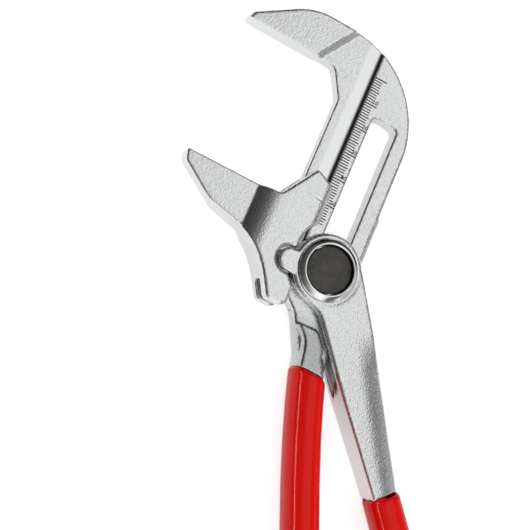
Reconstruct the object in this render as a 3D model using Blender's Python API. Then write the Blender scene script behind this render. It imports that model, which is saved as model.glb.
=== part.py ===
# Pliers wrench with parallel jaws, 250 mm long, modelled piece by piece.
#
# The fixed jaw and the left handle are one forging. A hinge bolt slides in its slot and is held
# there by a toothed key, which a push button lifts out of the rack. The pivot lever turns on the
# bolt, and its two lugs push the sliding jaw along the shaft as the handles close.
#
# Metres, +Z up. The shaft runs along +Y and the button looks along +Z. The origin is on the hinge
# axis, at the flat rear end of the bolt, which the tool rests on.

import math

import bmesh
import bpy
from mathutils import Vector
from mathutils.geometry import interpolate_bezier

# Jaws
OPENING = 0.0508
FACE_HEIGHT = 0.0167
JAW_REACH = 0.0410
JAW_TIP_THICKNESS = 0.0080
NOSE_HEIGHT = 0.0030
NOSE_SLANT = 0.0010
NOSE_RADIUS = 0.0010
UPPER_JAW_DEPTH = 0.0159
BACK_SLOPE = math.radians(33.6)
HEAD_ARC_RADIUS = 0.035
BACK_BEND_RADIUS = 0.023
NECK_CHAMFER_RUN = 0.0058
NECK_CHAMFER_DROP = 0.0100
NECK_TOP_FILLET = 0.0030
NECK_FOOT_FILLET = 0.0036
STEP_LENGTH = 0.0136
STEP_WIDTH = 0.0014
STEP_SLOPE_SHARE = 0.64

# Shaft with its slot, scale strip and groove
SHAFT_THICKNESS = 0.0066
SCALE_WIDTH = 0.00575
GROOVE_WIDTH = 0.0087
GROOVE_DEPTH = 0.0010
SLOT_WIDTH = 0.0099
SLOT_TOP = 0.0585
SLOT_CORNER_RADIUS = 0.0016
SLOT_CROWN = 0.0011
RIGHT_LEG_WIDTH = 0.00645
LEG_SWELL = 0.0008
LEG_SWELL_HEIGHT = 0.0262
LEG_BEVEL_WIDTH = 0.0016
LEG_BEVEL_DEPTH = 0.0010

# Rack in the slot, and the key that locks in it
TOOTH_PITCH = 0.00141
TOOTH_DEPTH = 0.0007
TOOTH_GAP = 0.00018
TOOTH_WIDTH_SHARE = 0.9
KEY_TEETH = 5
KEY_BACK_REACH = 0.0027

# Hinge bolt, from its cup at the front to its tail at the rear
REAR_REACH = 0.0094
CUP_RADIUS = 0.0098
BEZEL_RADIUS = 0.0109
BEZEL_RISE = 0.0020
BEZEL_RIM_RADIUS = 0.00915
BEZEL_MOUTH_RADIUS = 0.00866
GUIDE_LENGTH = 0.0116
GUIDE_CORNER_RADIUS = 0.0013
TAIL_RADIUS = 0.0043
SPRING_BORE_RADIUS = 0.0026
TAIL_FLOOR = 0.0013
BUSH_RADIUS = 0.0070
BUSH_FLANGE_RADIUS = 0.0088
BUSH_FLANGE_THICKNESS = 0.0006
SNAP_RING_WIDTH = 0.0013
SNAP_RING_THICKNESS = 0.0005
SNAP_GROOVE_DEPTH = 0.0005
SNAP_RING_OPENING = math.radians(40)

# Push button and its spring
BUTTON_RADIUS = 0.0081
BUTTON_THICKNESS = 0.0012
BUTTON_RECESS = 0.0010
BUTTON_EDGE = 0.0003
BUTTON_TRAVEL = 0.0023
STEM_RADIUS = 0.0020
SPRING_WIRE = 0.0005
SPRING_TURNS = 5
SPRING_COIL_RADIUS = 0.0019

# Sliding jaw
CHEEK_THICKNESS = 0.0146
LOWER_JAW_DEPTH = 0.0161
RAMP_START = 0.0137
RAMP_LENGTH = 0.0085
CHEEK_OVERLAP = 0.0016
CHEEK_EDGE = 0.0007
CHEEK_REAR_EDGE = 0.0012
HORN_TOP = 0.0304
HORN_WIDTH = 0.0079
HORN_SHOULDER = 0.0038
HORN_LEAN = 0.0088
HORN_SLOPE_WIDTH = 0.0034
HORN_SLOPE_DROP = 0.0012
HOOK_BOTTOM = 0.0179
HOOK_SHOULDER = (0.0086, 0.0051)
HOOK_RADIUS = 0.0360
HOOK_WIDTH = 0.0073
HOOK_LIP = 0.0034
LIP_RADIUS = 0.0008
WEB_BOTTOM = 0.0143
LOWER_BEND_LENGTH = 0.0133
LOWER_BEND_RISE = 0.0037
LOWER_BEND_RADIUS = 0.0120
LOWER_NOSE_HEIGHT = 0.0041
LOWER_NOSE_RADIUS = 0.0028
TOE_REAR_DRAFT = 0.0006
TOE_REAR_BEND = (0.0031, 0.0013)
TOE_REAR_END_DROP = 0.0010

# Pivot lever
BOSS_RADIUS = 0.0128
LUG_REACH = 0.0141
LUG_DROP = 0.0025
LUG_RADIUS = 0.0037
RECESS_RADIUS = 0.00465
BOSS_EDGE = 0.0009
SHANK_EDGE = 0.0006
LUG_EDGE = 0.0004
LEVER_THICKNESS_AT_GRIP = 0.0120
JAW_TRAVEL_DOWN = 0.0037
LEVER_THROAT = (0.0030, 0.01405)
LEVER_THROAT_RADIUS = 0.0090
LEVER_THROAT_TANGENT = math.radians(19.6)
LEVER_BACK_TANGENT = math.radians(24)
LEVER_BELLY = (0.0234, 0.0378)
LEVER_BACK = (0.0342, 0.0265)
LEVER_BEND_RADIUS = 0.0600
CROTCH_TOP = (0.0150, 0.0080)
CROTCH_BOTTOM = (0.0208, 0.0300)
CROTCH_SLANT_SHARE = 0.37

# Root of the left handle, measured down from the hinge
ROOT_TOP = 0.0040
ROOT_TOP_RADIUS = 0.0090
ROOT_KNEE = (0.0042, 0.0174)
ROOT_KNEE_RADIUS = 0.0080
ROOT_RIGHT_DROP = 0.0140
ROOT_RIGHT_RADIUS = 0.0200
ROOT_EDGE = 0.0005
ROOT_STEP_LEFT = 0.0028
ROOT_STEP_DROP = 0.0200
ROOT_STEP_RADIUS = 0.0008
ROOT_CREST = 0.0056
ROOT_SHOULDER = (0.0096, 0.0245)
ROOT_SHOULDER_RUN = 0.0008
ROOT_WAIST = (0.0026, 0.0244)
ROOT_WAIST_RADIUS = 0.0080
ROOT_LEAN = 0.0024
ROOT_LEAN_SHARES = (0.0, 1.0, 0.3)
ROOT_REAR_TUCK = 0.0010

# Handles and grips
LEFT_HANDLE_START = (0.0086, 0.0310)
LEFT_HANDLE_END = (0.0564, 0.1488)
LEFT_FIRST_HEADING = math.radians(17)
LEFT_LAST_HEADING = math.radians(20)
LEFT_HANDLE_THICKNESS = 0.0120
LEFT_GRIP_START = 0.0031
LEFT_MOUTH_SLANT = math.radians(20)
RIGHT_HANDLE_START = (0.0465, 0.0558)
RIGHT_HANDLE_END = (0.1007, 0.1232)
RIGHT_FIRST_HEADING = math.radians(41)
RIGHT_LAST_HEADING = math.radians(37)
RIGHT_GRIP_START = 0.0072
TANG_WIDTH = 0.0098
TANG_THICKNESS = 0.0104
GRIP_WIDTH = 0.0123
GRIP_THICKNESS = 0.0142
GRIP_LIP = 0.0007
MOUTH_FADE = 0.0140
GRIP_END_WALL = 0.0030
GRIP_SWELL_SHARE = 0.03

# Shared by all pieces
CLEARANCE = 0.0003
OVERRUN = 0.0010
SMALL_EDGE = 0.0004

# Share of a steel's blue against its red and green
WARM_SHARE = 0.98

# How finely round forms are divided
TURNED_FACETS = 48
BORE_FACETS = 32
COIL_STEPS = 8
COIL_CLOSE_SHARE = 1.9
CURVE_STEPS = 7
SECTION_POINTS = 20
SECTION_SHARE = 0.78
ROUTE_POINTS = 25
ROUTE_ARM_SHARE = 0.36
FILLET_ROOM_SHARE = 0.97
BODY_SHARES = (0.0, 0.08, 0.18, 0.3, 0.42, 0.54, 0.66, 0.78, 0.9, 1.0)
END_ADVANCE_SHARES = (0.35, 0.7, 0.92, 1.0)
END_SHARES = (0.94, 0.76, 0.5, 0.28)

# Worked out from the sizes above. Heights are from the middle plane of the tool.
MID = REAR_REACH
HALF_SLOT = SLOT_WIDTH / 2
GROOVE_WALL = -(HALF_SLOT + SCALE_WIDTH)
SHAFT_LEFT = GROOVE_WALL - GROOVE_WIDTH
SHAFT_RIGHT = HALF_SLOT + RIGHT_LEG_WIDTH
TIP_X = SHAFT_LEFT - JAW_REACH
UPPER_FACE = FACE_HEIGHT + OPENING
HEAD_TOP = UPPER_FACE + UPPER_JAW_DEPTH
FULL_REACH = HEAD_TOP + LEFT_HANDLE_END[1]
HALF_SHAFT = SHAFT_THICKNESS / 2
HALF_TIP = JAW_TIP_THICKNESS / 2
HALF_GROOVE = HALF_SHAFT - GROOVE_DEPTH
HALF_CHEEK = CHEEK_THICKNESS / 2
TINE_GAP = HALF_SHAFT + CLEARANCE
KEY_HALF_LENGTH = KEY_TEETH * TOOTH_PITCH / 2
SLOT_BOTTOM = -(GUIDE_LENGTH / 2 + TOOTH_PITCH + 2 * CLEARANCE)
SLOT_CORNER_TOP = SLOT_TOP - SLOT_CROWN
RACK_X = -HALF_SLOT - TOOTH_DEPTH
RACK_LIP = CLEARANCE / 6
TOOTH_HALF_WIDTH = TOOTH_PITCH * TOOTH_WIDTH_SHARE / 2
BEZEL_BASE = HALF_CHEEK + CLEARANCE
BEZEL_TOP = HALF_CHEEK + BEZEL_RISE
BUTTON_TOP = BEZEL_TOP - BUTTON_RECESS
BUTTON_BOTTOM = BUTTON_TOP - BUTTON_THICKNESS
CUP_FLOOR = BUTTON_BOTTOM - BUTTON_TRAVEL - CLEARANCE
KEY_LOW = CLEARANCE
KEY_HIGH = KEY_LOW + BUTTON_TRAVEL - 2 * CLEARANCE
KEY_ROOM_LOW = KEY_LOW - BUTTON_TRAVEL - CLEARANCE
SPRING_SEAT = -REAR_REACH + TAIL_FLOOR
RAMP_X = SHAFT_LEFT - RAMP_START


def clear_scene():
    for item in list(bpy.data.objects):
        bpy.data.objects.remove(item)


clear_scene()


def turned(start, corner, end):
    """The signed turn of an outline at a corner, positive to the left."""
    before = corner - start
    after = end - corner
    return math.atan2(before.x * after.y - before.y * after.x, before.dot(after))


def rounded(corners):
    """Points of a closed outline. A corner is (x, y), or (x, y, radius, facets) where it is rounded."""
    points = []
    spots = [Vector(corner[:2]) for corner in corners]
    for index, corner in enumerate(corners):
        here = spots[index]
        if len(corner) == 2:
            points.append(here)
            continue
        radius, facets = corner[2:]
        before = spots[index - 1]
        after = spots[(index + 1) % len(spots)]
        turn = turned(before, here, after)
        room = min((here - before).length, (after - here).length)
        reach = min(radius * math.tan(abs(turn) / 2), room * FILLET_ROOM_SHARE)
        radius = reach / math.tan(abs(turn) / 2)
        inward = (before - here).normalized()
        start = here + inward * reach
        side = Vector((inward.y, -inward.x)) * math.copysign(radius, turn)
        centre = start + side
        for step in range(facets + 1):
            angle = turn * step / facets
            arm = -side
            points.append(
                centre
                + Vector((arm.x * math.cos(angle) - arm.y * math.sin(angle),
                          arm.x * math.sin(angle) + arm.y * math.cos(angle)))
            )
    return points


def inset(corners, depth):
    """The same outline, counter-clockwise, with every side moved inwards by depth."""
    spots = [Vector(corner[:2]) for corner in corners]
    moved = []
    for index, corner in enumerate(corners):
        before = spots[index - 1]
        here = spots[index]
        after = spots[(index + 1) % len(spots)]
        turn = turned(before, here, after)
        along = (here - before).normalized()
        onward = (after - here).normalized()
        bisector = (Vector((-along.y, along.x)) + Vector((-onward.y, onward.x))).normalized()
        spot = here + bisector * depth / math.cos(turn / 2)
        if len(corner) == 2:
            moved.append(tuple(spot))
            continue
        radius = corner[2] - math.copysign(depth, turn)
        moved.append((spot.x, spot.y, max(radius, SMALL_EDGE / 4), corner[3]))
    return moved


def add_object(name, mesh_maker):
    """An object whose mesh a bmesh function fills."""
    mesh = bpy.data.meshes.new(name)
    shape = bmesh.new()
    mesh_maker(shape)
    bmesh.ops.recalc_face_normals(shape, faces=shape.faces)
    shape.to_mesh(mesh)
    shape.free()
    item = bpy.data.objects.new(name, mesh)
    bpy.context.scene.collection.objects.link(item)
    return item


def skin(name, rings):
    """A closed solid through rings of points with equal counts, from its first ring to its last."""

    def make(shape):
        loops = [[shape.verts.new(point) for point in ring] for ring in rings]
        for lower, upper in zip(loops, loops[1:]):
            for index, corner in enumerate(lower):
                following = (index + 1) % len(lower)
                shape.faces.new((corner, lower[following], upper[following], upper[index]))
        shape.faces.new(reversed(loops[0]))
        shape.faces.new(loops[-1])

    return add_object(name, make)


def plate(name, layers):
    """A solid through flat outlines. A layer is (height above the middle, corners)."""
    rings = []
    for height, corners in layers:
        rings.append([Vector((point.x, point.y, MID + height)) for point in rounded(corners)])
    return skin(name, rings)


def edged_plate(name, corners, low, high, edge):
    """A plate whose rim is bevelled at both faces."""
    small = inset(corners, edge)
    return plate(name, [(low, small), (low + edge, corners), (high - edge, corners), (high, small)])


def both_sides(name, corners, low, high):
    """A cutter with a straight wall between two heights, which also reaches as far below the middle."""
    upper = plate(name + "_front", [(low, corners), (high, corners)])
    lower = plate(name + "_rear", [(-high, corners), (-low, corners)])
    return [upper, lower]


def box_corners(left, bottom, right, top):
    return [(left, bottom), (right, bottom), (right, top), (left, top)]


def disc(radius, facets, centre=(0.0, 0.0)):
    """A round outline as plain corners."""
    corners = []
    for step in range(facets):
        angle = math.tau * step / facets
        corners.append((centre[0] + radius * math.cos(angle), centre[1] + radius * math.sin(angle)))
    return corners


def turned_solid(name, profile, facets):
    """A solid of revolution about the hinge axis. The profile is a closed loop of (radius, height)."""

    def make(shape):
        columns = []
        for step in range(facets):
            angle = math.tau * step / facets
            column = [
                shape.verts.new((radius * math.cos(angle), radius * math.sin(angle), MID + height))
                for radius, height in profile
            ]
            columns.append(column)
        for step, column in enumerate(columns):
            following = columns[(step + 1) % facets]
            for index, corner in enumerate(column):
                upper = (index + 1) % len(column)
                shape.faces.new((corner, following[index], following[upper], column[upper]))
        bmesh.ops.remove_doubles(shape, verts=shape.verts, dist=SMALL_EDGE / 1000)

    return add_object(name, make)


def combine(item, others, operation):
    """Adds or cuts other solids, which stay hidden as construction shapes."""
    for other in others:
        other.hide_render = True
        other.display_type = "WIRE"
        modifier = item.modifiers.new(other.name, "BOOLEAN")
        modifier.operation = operation
        modifier.solver = "EXACT"
        modifier.object = other


def apply_modifiers(item):
    """Fixes the evaluated shape as the object's own mesh."""
    graph = bpy.context.evaluated_depsgraph_get()
    mesh = bpy.data.meshes.new_from_object(item.evaluated_get(graph))
    item.modifiers.clear()
    item.data = mesh
    item.data.name = item.name


def weld(item):
    """Closes the seams that cutting leaves."""
    shape = bmesh.new()
    shape.from_mesh(item.data)
    bmesh.ops.remove_doubles(shape, verts=shape.verts, dist=SMALL_EDGE / 100)
    bmesh.ops.dissolve_degenerate(shape, edges=shape.edges, dist=SMALL_EDGE / 100)
    shape.to_mesh(item.data)
    shape.free()


def shade(item, angle=math.radians(35)):
    item.data.shade_smooth()
    item.data.set_sharp_from_angle(angle=angle)


def material(name, colour, roughness, metallic):
    finish = bpy.data.materials.new(name)
    finish.use_nodes = True
    shader = finish.node_tree.nodes["Principled BSDF"]
    shader.inputs["Base Color"].default_value = (*colour, 1.0)
    shader.inputs["Roughness"].default_value = roughness
    shader.inputs["Metallic"].default_value = metallic
    return finish


def finish_piece(item, finish):
    apply_modifiers(item)
    weld(item)
    shade(item)
    item.data.materials.clear()
    item.data.materials.append(finish)
    return item


def across(point, direction, width, height):
    """A point of a handle's section: width to the right of its route, height above the middle."""
    return Vector((point.x - direction.y * width, point.y + direction.x * width, MID + height))


def section(point, direction, width, thickness, slant=0.0):
    """One ring of a handle, a rounded rectangle across its route, turned by a slant where it has one."""
    ring = []
    for step in range(SECTION_POINTS):
        angle = math.tau * (step + 1 / 2) / SECTION_POINTS
        wide = math.copysign(abs(math.cos(angle)) ** SECTION_SHARE, math.cos(angle))
        high = math.copysign(abs(math.sin(angle)) ** SECTION_SHARE, math.sin(angle))
        onward = Vector((direction.x, direction.y, 0)) * math.tan(slant) * wide * width / 2
        ring.append(across(point, direction, wide * width / 2, high * thickness / 2) + onward)
    return ring


def heading(angle):
    """The direction that leans by an angle from straight down towards +X."""
    return Vector((math.sin(angle), -math.cos(angle)))


def handle_route(start, first_angle, end, last_angle):
    """Points and directions along a handle, on one smooth curve."""
    chord = (end - start).length
    knots = (start, start + heading(first_angle) * chord * ROUTE_ARM_SHARE,
             end - heading(last_angle) * chord * ROUTE_ARM_SHARE, end)
    points = interpolate_bezier(*knots, ROUTE_POINTS)
    stations = []
    for index, point in enumerate(points):
        before = points[max(index - 1, 0)]
        after = points[min(index + 1, len(points) - 1)]
        stations.append((point, (after - before).normalized()))
    return stations


def place_on(stations, distance):
    """The point and direction at a distance along a route."""
    for (point, direction), (following, onward) in zip(stations, stations[1:]):
        stretch = (following - point).length
        if distance <= stretch:
            share = distance / stretch
            return point.lerp(following, share), direction.lerp(onward, share).normalized()
        distance -= stretch
    point, direction = stations[-1]
    return point + direction * distance, direction


def route_length(stations):
    return sum((b[0] - a[0]).length for a, b in zip(stations, stations[1:]))


def swept(name, stations, spots):
    """A solid along a route. A spot is (distance, width, thickness) and may end with its slant."""
    rings = []
    for distance, *size in spots:
        point, direction = place_on(stations, distance)
        rings.append(section(point, direction, *size))
    return skin(name, rings)


def grip_solid(name, stations, start, slant):
    """A dipped sleeve: closed round end, a rolled lip at its mouth, and a bore for the tang."""
    length = route_length(stations)
    bore = (TANG_WIDTH + 2 * CLEARANCE, TANG_THICKNESS + 2 * CLEARANCE)
    wall = GRIP_END_WALL
    floor = length - wall

    def spot_at(distance, width, thickness):
        fade = max(1 - (distance - start) / MOUTH_FADE, 0)
        return distance, width, thickness, slant * fade

    spots = [spot_at(floor, bore[0] * END_SHARES[1], bore[1] * END_SHARES[1])]
    for share in reversed(BODY_SHARES):
        spots.append(spot_at(start + (floor - wall - start) * share, *bore))
    spots.append(spot_at(start, GRIP_WIDTH - 2 * GRIP_LIP, GRIP_THICKNESS - 2 * GRIP_LIP))
    low = start + GRIP_LIP
    for share in BODY_SHARES:
        swell = 1 + GRIP_SWELL_SHARE * math.sin(math.pi * share)
        spots.append(spot_at(low + (floor - low) * share, GRIP_WIDTH * swell, GRIP_THICKNESS * swell))
    for advance, narrow in zip(END_ADVANCE_SHARES, END_SHARES):
        spots.append(spot_at(floor + wall * advance, GRIP_WIDTH * narrow, GRIP_THICKNESS * narrow))
    return swept(name, stations, spots)


def spot(pair):
    """A named place below the hinge: (right of it, below it)."""
    return Vector((pair[0], -pair[1]))


LEFT_ROUTE = handle_route(
    spot(LEFT_HANDLE_START), LEFT_FIRST_HEADING, spot(LEFT_HANDLE_END), LEFT_LAST_HEADING
)
RIGHT_ROUTE = handle_route(
    spot(RIGHT_HANDLE_START), RIGHT_FIRST_HEADING, spot(RIGHT_HANDLE_END), RIGHT_LAST_HEADING
)


def handle_sides(stations, distance, width, slant=0.0):
    """The left and right points of a handle at a distance along its route, on a line that may slant."""
    point, direction = place_on(stations, distance)
    side = Vector((-direction.y, direction.x)) * width / 2
    onward = direction * math.tan(slant) * width / 2
    return point - side - onward, point + side + onward


def head_step_x(y):
    """The tip side of the slanted step across the upper jaw."""
    return SHAFT_LEFT - STEP_LENGTH + (y - UPPER_FACE) * STEP_SLOPE_SHARE


def blank_corners():
    """The outline of the fixed jaw, shaft and handle root, counter-clockwise from the tip."""
    back_run = (UPPER_JAW_DEPTH - NOSE_HEIGHT) / math.tan(BACK_SLOPE)
    left, right = handle_sides(
        LEFT_ROUTE, LEFT_GRIP_START - CLEARANCE, TANG_WIDTH - CLEARANCE, LEFT_MOUTH_SLANT
    )
    return [
        (TIP_X, UPPER_FACE, SMALL_EDGE, 2),
        (SHAFT_LEFT - NECK_CHAMFER_RUN, UPPER_FACE, NECK_TOP_FILLET, 4),
        (SHAFT_LEFT, UPPER_FACE - NECK_CHAMFER_DROP, NECK_FOOT_FILLET, 5),
        (SHAFT_LEFT, -ROOT_TOP, ROOT_TOP_RADIUS, 6),
        (-ROOT_KNEE[0], -ROOT_KNEE[1], ROOT_KNEE_RADIUS, 5),
        (*left,),
        (*right,),
        (SHAFT_RIGHT + LEG_SWELL, -ROOT_RIGHT_DROP, ROOT_RIGHT_RADIUS, 4),
        (SHAFT_RIGHT + LEG_SWELL, LEG_SWELL_HEIGHT - LEG_SWELL, 2 * LEG_SWELL, 2),
        (SHAFT_RIGHT, LEG_SWELL_HEIGHT + LEG_SWELL, 2 * LEG_SWELL, 2),
        (SHAFT_RIGHT, HEAD_TOP, HEAD_ARC_RADIUS, 14),
        (TIP_X + NOSE_SLANT + back_run, HEAD_TOP, BACK_BEND_RADIUS, 7),
        (TIP_X + NOSE_SLANT, UPPER_FACE + NOSE_HEIGHT, NOSE_RADIUS, 3),
    ]


def ground_inset(corners, depth):
    """The blank's outline moved inwards, but for its ground gripping face, whose edges stay sharp."""
    moved = inset(corners, depth)
    back = depth - SMALL_EDGE / 2
    tip, neck = moved[:2]
    moved[0] = (tip[0], tip[1] - back, *tip[2:])
    moved[1] = (neck[0] + back * NECK_CHAMFER_RUN / NECK_CHAMFER_DROP, neck[1] - back, *neck[2:])
    return moved


def slot_corners():
    return [
        (-HALF_SLOT, SLOT_BOTTOM, SLOT_CORNER_RADIUS, 3),
        (HALF_SLOT, SLOT_BOTTOM, SLOT_CORNER_RADIUS, 3),
        (HALF_SLOT, SLOT_CORNER_TOP, SLOT_CORNER_RADIUS, 3),
        (0, SLOT_TOP, SLOT_WIDTH, 3),
        (-HALF_SLOT, SLOT_CORNER_TOP, SLOT_CORNER_RADIUS, 3),
    ]


def rack_corners():
    """The toothed side of the slot, one notch for each pitch of travel."""
    low = SLOT_BOTTOM + SLOT_CORNER_RADIUS
    high = SLOT_CORNER_TOP - SLOT_CORNER_RADIUS
    corners = [(-HALF_SLOT / 2, low), (-HALF_SLOT / 2, high)]
    lip = -HALF_SLOT + RACK_LIP
    last = math.floor((high - TOOTH_HALF_WIDTH) / TOOTH_PITCH)
    first = math.ceil((low + TOOTH_HALF_WIDTH) / TOOTH_PITCH)
    for notch in range(last, first - 1, -1):
        middle = notch * TOOTH_PITCH
        corners.append((lip, middle + TOOTH_HALF_WIDTH))
        corners.append((RACK_X, middle))
        corners.append((lip, middle - TOOTH_HALF_WIDTH))
    return corners


def root_corners(lean, tuck):
    """The thick root of the left handle, whose upper edge steps down under the lever's tines.

    Its left flank leans: the outline at the middle reaches further left than the one at a face.
    The tuck moves its upper left corner in, where that would stand out from the shaft's edge."""
    left, right = handle_sides(LEFT_ROUTE, LEFT_GRIP_START - CLEARANCE, TANG_WIDTH, LEFT_MOUTH_SLANT)
    shoulder = spot(ROOT_SHOULDER)
    leans = [lean * share for share in ROOT_LEAN_SHARES]
    return [
        (tuck - ROOT_STEP_LEFT - leans[0], -ROOT_STEP_DROP, ROOT_STEP_RADIUS, 3),
        (ROOT_WAIST[0] - leans[1], -ROOT_WAIST[1], ROOT_WAIST_RADIUS, 4),
        (left.x - leans[2], left.y),
        (right.x - ROOT_EDGE + leans[2], right.y),
        (shoulder.x + ROOT_SHOULDER_RUN, shoulder.y - 4 * ROOT_SHOULDER_RUN, 4 * ROOT_STEP_RADIUS, 3),
        (shoulder.x, shoulder.y, 3 * ROOT_STEP_RADIUS, 3),
        (ROOT_CREST, -ROOT_STEP_DROP, 4 * ROOT_STEP_RADIUS, 4),
    ]


def leg_bevel(side):
    """A cutter that bevels the long right edge of the shaft on one face."""
    edge_x = SHAFT_RIGHT + LEG_SWELL
    profile = [
        (edge_x + LEG_BEVEL_WIDTH, HALF_SHAFT - 2 * LEG_BEVEL_DEPTH),
        (edge_x + LEG_BEVEL_WIDTH, HALF_TIP + OVERRUN),
        (edge_x - LEG_BEVEL_WIDTH, HALF_TIP + OVERRUN),
        (edge_x - LEG_BEVEL_WIDTH, HALF_SHAFT),
    ]
    rings = []
    for y in (-ROOT_RIGHT_DROP - LEG_BEVEL_WIDTH, HEAD_TOP - HEAD_ARC_RADIUS + LEG_BEVEL_WIDTH):
        rings.append([Vector((x, y, MID + side * z)) for x, z in profile])
    return skin("leg_bevel", rings)


def head_face(side):
    """A cutter that lowers the head from the slanted step to the groove, level with the groove."""
    low_y = -FULL_REACH
    high_y = HEAD_TOP + OVERRUN
    layers = []
    slope = STEP_WIDTH / (HALF_TIP - HALF_GROOVE)
    for height in (HALF_GROOVE, HALF_TIP + OVERRUN):
        shift = STEP_WIDTH - (height - HALF_GROOVE) * slope
        corners = [
            (head_step_x(low_y) + shift, low_y),
            (GROOVE_WALL, low_y),
            (GROOVE_WALL, high_y),
            (head_step_x(high_y) + shift, high_y),
        ]
        layers.append((side * height, corners))
    return plate("head_face", layers)


def tang(name, stations, start):
    """The bare end of a forged handle, inside its grip."""
    end = route_length(stations) - GRIP_END_WALL - CLEARANCE
    run = end - TANG_WIDTH / 2 - start
    slim = 2 * CLEARANCE
    spots = [(start, TANG_WIDTH - slim, TANG_THICKNESS - slim)]
    for share in BODY_SHARES[1:]:
        spots.append((start + run * share, TANG_WIDTH, TANG_THICKNESS))
    spots.append((end, TANG_WIDTH * END_SHARES[2], TANG_THICKNESS * END_SHARES[2]))
    return swept(name, stations, spots)


def make_fixed_jaw_lever(finish):
    blank = blank_corners()
    body = plate("fixed_jaw_lever", [
        (-HALF_TIP, ground_inset(blank, 2 * SMALL_EDGE)),
        (-HALF_SHAFT, ground_inset(blank, SMALL_EDGE)),
        (-HALF_GROOVE, blank),
        (HALF_GROOVE, blank),
        (HALF_SHAFT, ground_inset(blank, SMALL_EDGE)),
        (HALF_TIP, ground_inset(blank, 2 * SMALL_EDGE)),
    ])
    right = SHAFT_RIGHT + FULL_REACH
    shaft_face = box_corners(GROOVE_WALL - SMALL_EDGE / 2, -FULL_REACH, right, FULL_REACH)
    cutters = both_sides("shaft_face", shaft_face, HALF_SHAFT, HALF_TIP + OVERRUN)
    cutters += [head_face(1), head_face(-1), leg_bevel(1), leg_bevel(-1)]
    combine(body, cutters, "DIFFERENCE")
    half = LEFT_HANDLE_THICKNESS / 2
    face = root_corners(0, 0)
    rear = root_corners(0, ROOT_REAR_TUCK)
    root = plate("handle_root", [
        (-half, inset(rear, ROOT_EDGE)),
        (ROOT_EDGE - half, rear),
        (0, root_corners(ROOT_LEAN, 0)),
        (half - ROOT_EDGE, face),
        (half, inset(face, ROOT_EDGE)),
    ])
    combine(body, [root, tang("left_tang", LEFT_ROUTE, LEFT_GRIP_START - TANG_WIDTH / 2)], "UNION")
    through = HALF_TIP + OVERRUN
    relief_corners = box_corners(RACK_X - SMALL_EDGE / 2, SLOT_BOTTOM + SLOT_CORNER_RADIUS,
                                 -HALF_SLOT / 2, SLOT_CORNER_TOP - SLOT_CORNER_RADIUS)
    slot = plate("slot", [(-through, slot_corners()), (through, slot_corners())])
    rack = plate("rack", [(0, rack_corners()), (KEY_HIGH + CLEARANCE, rack_corners())])
    relief = plate("rack_relief", [(-through, relief_corners), (0, relief_corners)])
    combine(body, [slot, rack, relief], "DIFFERENCE")
    return finish_piece(body, finish)


def cheek_corners():
    """The outline of the cheeks, counter-clockwise from the foot of the ramp."""
    right = GROOVE_WALL + CHEEK_OVERLAP
    reach = BOSS_RADIUS + CLEARANCE
    rise = math.sqrt(reach ** 2 - right ** 2)
    boss_corner = JAW_TRAVEL_DOWN + reach * math.tan(math.asin(rise / reach) / 2)
    low_left = FACE_HEIGHT - LOWER_JAW_DEPTH
    recess_x = -LUG_REACH - RECESS_RADIUS
    recess_low = -LUG_DROP - RECESS_RADIUS
    recess_high = -LUG_DROP + RECESS_RADIUS
    return [
        (RAMP_X, low_left),
        (RAMP_X + HOOK_SHOULDER[0], low_left - HOOK_SHOULDER[1], HOOK_RADIUS, 8),
        (right - HOOK_WIDTH, -HOOK_BOTTOM, 2 * CHEEK_REAR_EDGE, 3),
        (right, -HOOK_BOTTOM, 2 * CHEEK_REAR_EDGE, 3),
        (right, recess_low - HOOK_LIP, 2 * CHEEK_REAR_EDGE, 3),
        (-LUG_REACH + HOOK_LIP / 2, recess_low, 2 * CHEEK_REAR_EDGE, 3),
        (recess_x, recess_low, RECESS_RADIUS, 7),
        (recess_x, recess_high, RECESS_RADIUS, 7),
        (-reach, recess_high, LIP_RADIUS, 3),
        (-reach, boss_corner, reach, 6),
        (right, JAW_TRAVEL_DOWN + rise),
        (right, HORN_TOP - HORN_SHOULDER, 4 * CHEEK_EDGE, 4),
        (right - HORN_WIDTH, HORN_TOP, 2 * CHEEK_EDGE, 3),
        (right - HORN_WIDTH - HORN_LEAN, FACE_HEIGHT, 3 * CHEEK_EDGE, 3),
        (RAMP_X, FACE_HEIGHT),
    ]


def lower_tip_corners(draft, bend, end_drop):
    """The thin gripping part of the sliding jaw, counter-clockwise from the top of its tip.

    At the rear its nose is shorter by the draft, and its outer wall bends nearer to the cheeks."""
    low_left = FACE_HEIGHT - LOWER_JAW_DEPTH
    web_x = SHAFT_LEFT - NECK_CHAMFER_RUN - 2 * CLEARANCE
    return [
        (TIP_X, FACE_HEIGHT, SMALL_EDGE, 2),
        (TIP_X + NOSE_SLANT, FACE_HEIGHT - LOWER_NOSE_HEIGHT + draft, LOWER_NOSE_RADIUS, 4),
        (
            TIP_X + LOWER_BEND_LENGTH + bend[0],
            low_left + LOWER_BEND_RISE - bend[1],
            LOWER_BEND_RADIUS, 5,
        ),
        (RAMP_X + OVERRUN, low_left + SMALL_EDGE - end_drop),
        (web_x, low_left + SMALL_EDGE),
        (web_x, FACE_HEIGHT),
    ]


def crown_profile(edge_x, run, drop, side):
    """Height over x of a cut that rounds a cheek's face off, from a line along the shaft to one side."""
    radius = (run ** 2 + drop ** 2) / (2 * drop)
    full = math.asin(run / radius)
    profile = []
    for step in range(CURVE_STEPS + 1):
        angle = full * step / CURVE_STEPS
        profile.append((radius * math.sin(angle), HALF_CHEEK - radius * (1 - math.cos(angle))))
    profile.append((run + OVERRUN, profile[-1][1]))
    profile.append((run + OVERRUN, HALF_CHEEK + OVERRUN))
    profile.append((0, HALF_CHEEK + OVERRUN))
    return [(edge_x + side * x, z) for x, z in profile]


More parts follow.
